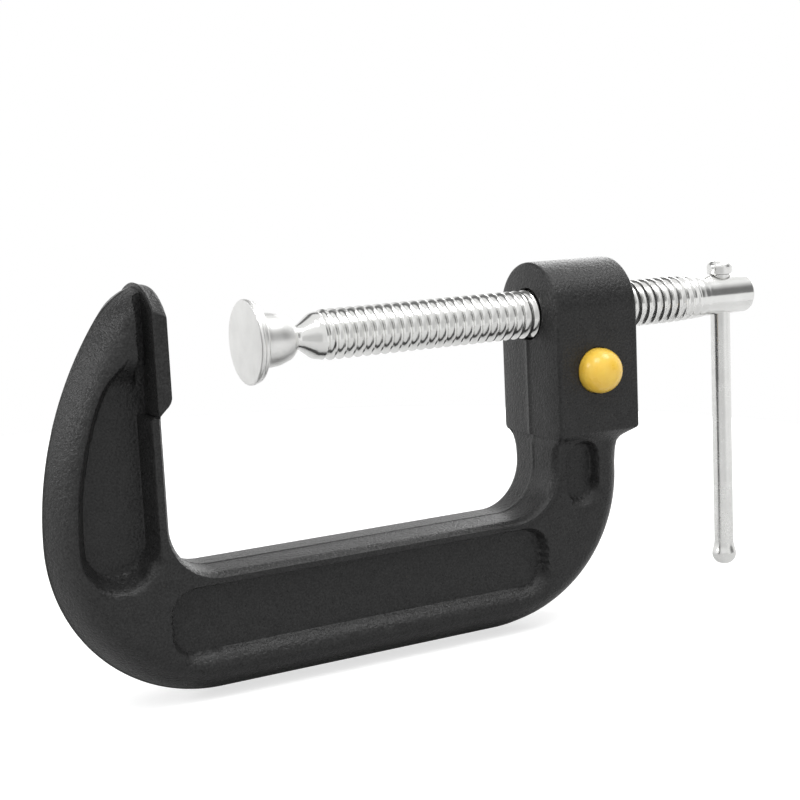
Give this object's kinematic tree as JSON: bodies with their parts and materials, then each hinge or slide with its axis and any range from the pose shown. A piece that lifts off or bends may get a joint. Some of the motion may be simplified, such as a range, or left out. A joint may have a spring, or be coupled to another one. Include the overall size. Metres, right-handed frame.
{
  "type": "c clamp",
  "caption": "Quick-release C clamp: a black cast C frame, a plated threaded spindle with a swivel pad and sliding handle, and a push button that frees the spindle.",
  "frame": {"origin": "centre of the anvil face, on the spindle's axis", "axes": "+X along the spindle towards its handle, +Y away from the release button, +Z away from the spine"},
  "size_m": [0.228, 0.0369, 0.1096],
  "materials": {
    "black_enamel": "satin, fine orange peel",
    "bright_plating": "bright zinc plate",
    "yellow_plastic": "gloss",
    "oiled_steel": "machined, oiled"
  },
  "bodies": {
    "frame": {"c_frame": "black_enamel", "return_spring": "oiled_steel", "bore_plug": "oiled_steel"},
    "pad": {"swivel_pad": "bright_plating"},
    "spindle": {"spindle": "bright_plating"},
    "handle": {"handle_bar": "bright_plating"},
    "release": {"locking_plunger": "oiled_steel", "release_button": "yellow_plastic"}
  },
  "joints": [
    {"name": "spindle_travel", "type": "slide", "parent": "frame", "child": "pad", "axis": [1, 0, 0], "range_m": [-0.0258, 0.073]},
    {"name": "spindle_turn", "type": "hinge", "parent": "pad", "child": "spindle", "pos_m": [0.0357, 0, 0], "axis": [1, 0, 0], "range_deg": [-3282, 9286]},
    {"name": "handle_slide", "type": "slide", "parent": "spindle", "child": "handle", "axis": [0, 0, 1], "range_m": [0, 0.0725]},
    {"name": "button_press", "type": "slide", "parent": "frame", "child": "release", "axis": [0, 1, 0], "range_m": [0, 0.005], "stiffness_N_per_m": 800, "springref_m": -0.004, "deforming": ["return_spring"]}
  ],
  "couplings": [
    {"joint": "spindle_travel", "follows": "spindle_turn", "m_per_rad": 0.00045041}
  ]
}
